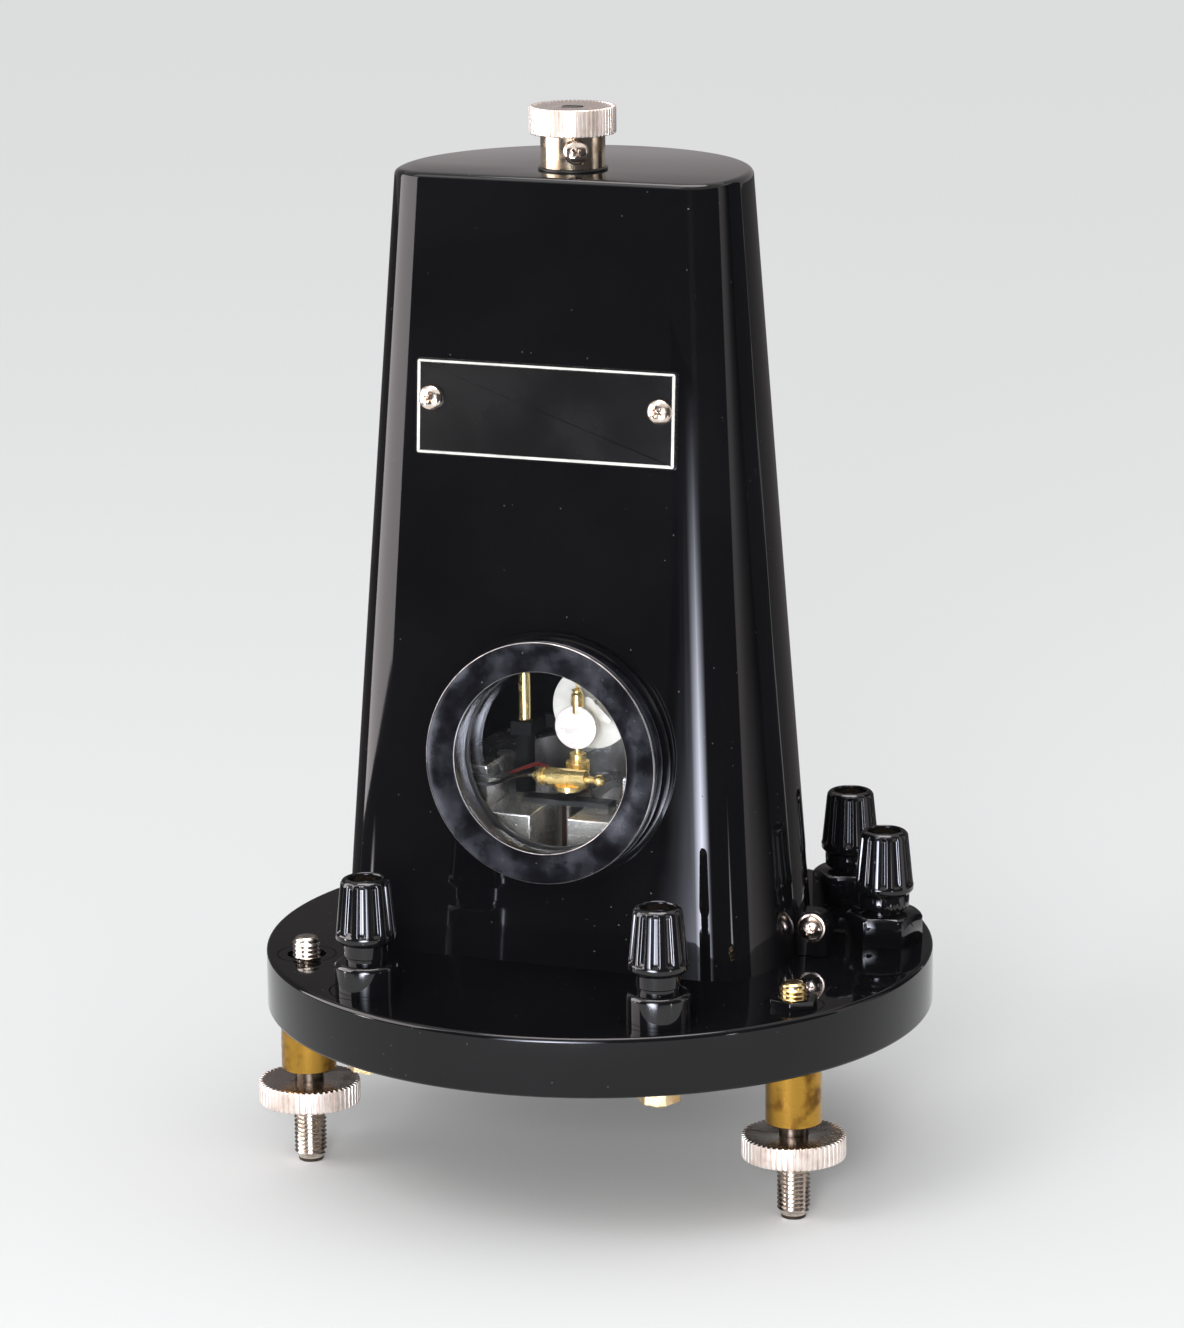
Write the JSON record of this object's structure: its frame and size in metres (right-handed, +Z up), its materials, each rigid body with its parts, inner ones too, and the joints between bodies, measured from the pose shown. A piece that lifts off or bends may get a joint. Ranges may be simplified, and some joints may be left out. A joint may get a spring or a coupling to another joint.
{
  "type": "ballistic galvanometer",
  "caption": "Reflecting galvanometer: suspended coil and mirror behind a round window in a black case, on a levelled base with screw terminals.",
  "frame": {"origin": "on the bench, at the middle of the part's bounding box, under the round base", "axes": "+Z up along the case and the suspension, -Y towards the window, +X to the right as seen from the window's side"},
  "size_m": [0.19, 0.1935, 0.2987],
  "materials": {
    "black_lacquer": "glossy black stove enamel",
    "black_moulding": "glossy black phenolic moulding",
    "black_metal": "satin black finish",
    "nickel": "nickel plate, lightly worn",
    "brass": "bare brass, stained",
    "magnet_steel": "ground steel",
    "window_glass": "clear glass",
    "mirror_glass": "silvered glass",
    "white_card": "matt white",
    "aluminium": "plain",
    "enamelled_wire": "enamelled copper wire",
    "lead_sleeving": "black and red sleeving"
  },
  "bodies": {
    "stand": {"base": "black_lacquer", "case": "black_lacquer", "case_lugs": "brass", "case_screws": "nickel", "window_flange": "black_moulding", "window_bezel": "black_moulding", "window_glass": "window_glass", "window_rings": "black_metal", "name_plate": "black_metal", "name_plate_screws": "nickel", "foot_bushes": "brass", "foot_lock_nut": "black_metal", "post_body_front_left": "black_moulding", "post_body_front_right": "black_moulding", "post_body_side_near": "black_moulding", "post_body_side_far": "black_moulding", "post_stem_front_left": "brass", "post_stem_front_right": "brass", "post_stem_side_near": "brass", "post_stem_side_far": "brass", "post_washers": "brass", "post_nuts": "brass", "head_washer": "black_metal", "head_collar": "nickel", "head_bridge": "brass", "pillar_rods": "brass", "pillar_sleeves": "black_metal", "pillar_nuts": "nickel", "screen_bracket": "black_metal", "screen": "white_card", "magnet": "magnet_steel", "pole_shoe_left": "magnet_steel", "pole_shoe_right": "magnet_steel", "terminal_strip": "brass", "terminal_bar": "brass", "lower_anchor": "brass", "inner_leads": "lead_sleeving"},
    "stud_left": {"foot_stud_left": "nickel"},
    "wheel_left": {"foot_wheel_left": "nickel"},
    "stud_right": {"foot_stud_right": "nickel"},
    "wheel_right": {"foot_wheel_right": "nickel"},
    "stud_back": {"foot_stud_back": "nickel"},
    "wheel_back": {"foot_wheel_back": "nickel"},
    "insert_front_left": {"post_insert_front_left": "brass"},
    "cap_front_left": {"post_cap_front_left": "black_moulding"},
    "insert_front_right": {"post_insert_front_right": "brass"},
    "cap_front_right": {"post_cap_front_right": "black_moulding"},
    "insert_side_near": {"post_insert_side_near": "brass"},
    "cap_side_near": {"post_cap_side_near": "black_moulding"},
    "insert_side_far": {"post_insert_side_far": "brass"},
    "cap_side_far": {"post_cap_side_far": "black_moulding"},
    "torsion_head": {"head_knob": "nickel", "head_spindle": "brass"},
    "lock": {"head_lock_screw": "nickel"},
    "suspension": {"suspension_strip": "brass", "mirror_cell": "brass", "mirror": "mirror_glass", "coil_former": "aluminium", "coil_winding": "enamelled_wire", "lower_spring": "brass"}
  },
  "joints": [
    {"name": "foot_lift_left", "type": "slide", "parent": "stand", "child": "stud_left", "axis": [0, 0, 1], "range_m": [-0.006, 0.0035]},
    {"name": "foot_turn_left", "type": "hinge", "parent": "stud_left", "child": "wheel_left", "pos_m": [-0.07275, -0.042, 0.02], "axis": [0, 0, 1], "range_deg": [-1728, 1008]},
    {"name": "foot_lift_right", "type": "slide", "parent": "stand", "child": "stud_right", "axis": [0, 0, 1], "range_m": [-0.006, 0.0035]},
    {"name": "foot_turn_right", "type": "hinge", "parent": "stud_right", "child": "wheel_right", "pos_m": [0.07275, -0.042, 0.02], "axis": [0, 0, 1], "range_deg": [-1728, 1008]},
    {"name": "foot_lift_back", "type": "slide", "parent": "stand", "child": "stud_back", "axis": [0, 0, 1], "range_m": [-0.006, 0.0035]},
    {"name": "foot_turn_back", "type": "hinge", "parent": "stud_back", "child": "wheel_back", "pos_m": [0, 0.084, 0.02], "axis": [0, 0, 1], "range_deg": [-1728, 1008]},
    {"name": "cap_lift_front_left", "type": "slide", "parent": "stand", "child": "insert_front_left", "axis": [0, 0, 1], "range_m": [0, 0.006]},
    {"name": "cap_turn_front_left", "type": "hinge", "parent": "insert_front_left", "child": "cap_front_left", "pos_m": [-0.0429, -0.06812, 0.0828], "axis": [0, 0, 1], "range_deg": [0, 2160]},
    {"name": "cap_lift_front_right", "type": "slide", "parent": "stand", "child": "insert_front_right", "axis": [0, 0, 1], "range_m": [0, 0.006]},
    {"name": "cap_turn_front_right", "type": "hinge", "parent": "insert_front_right", "child": "cap_front_right", "pos_m": [0.0429, -0.06812, 0.0828], "axis": [0, 0, 1], "range_deg": [0, 2160]},
    {"name": "cap_lift_side_near", "type": "slide", "parent": "stand", "child": "insert_side_near", "axis": [0, 0, 1], "range_m": [0, 0.006]},
    {"name": "cap_turn_side_near", "type": "hinge", "parent": "insert_side_near", "child": "cap_side_near", "pos_m": [0.07681, 0.0257, 0.0828], "axis": [0, 0, 1], "range_deg": [0, 2160]},
    {"name": "cap_lift_side_far", "type": "slide", "parent": "stand", "child": "insert_side_far", "axis": [0, 0, 1], "range_m": [0, 0.006]},
    {"name": "cap_turn_side_far", "type": "hinge", "parent": "insert_side_far", "child": "cap_side_far", "pos_m": [0.05399, 0.06435, 0.0828], "axis": [0, 0, 1], "range_deg": [0, 2160]},
    {"name": "zero_turn", "type": "hinge", "parent": "stand", "child": "torsion_head", "pos_m": [-0.0075, 0.004, 0.29], "axis": [0, 0, 1], "range_deg": [-12, 12]},
    {"name": "lock_turn", "type": "hinge", "parent": "stand", "child": "lock", "pos_m": [-0.00347, -0.00427, 0.2869], "axis": [0.4384, -0.8988, 0], "range_deg": [0, 180]},
    {"name": "coil_swing", "type": "hinge", "parent": "torsion_head", "child": "suspension", "pos_m": [-0.0075, 0.004, 0.12], "axis": [0, 0, 1], "range_deg": [-12, 12], "stiffness_Nm_per_rad": 0.00002}
  ],
  "couplings": [
    {"joint": "foot_turn_left", "follows": "foot_lift_left", "rad_per_m": 5026.5},
    {"joint": "foot_turn_right", "follows": "foot_lift_right", "rad_per_m": 5026.5},
    {"joint": "foot_turn_back", "follows": "foot_lift_back", "rad_per_m": 5026.5},
    {"joint": "cap_turn_front_left", "follows": "cap_lift_front_left", "rad_per_m": 6283.2},
    {"joint": "cap_turn_front_right", "follows": "cap_lift_front_right", "rad_per_m": 6283.2},
    {"joint": "cap_turn_side_near", "follows": "cap_lift_side_near", "rad_per_m": 6283.2},
    {"joint": "cap_turn_side_far", "follows": "cap_lift_side_far", "rad_per_m": 6283.2}
  ]
}
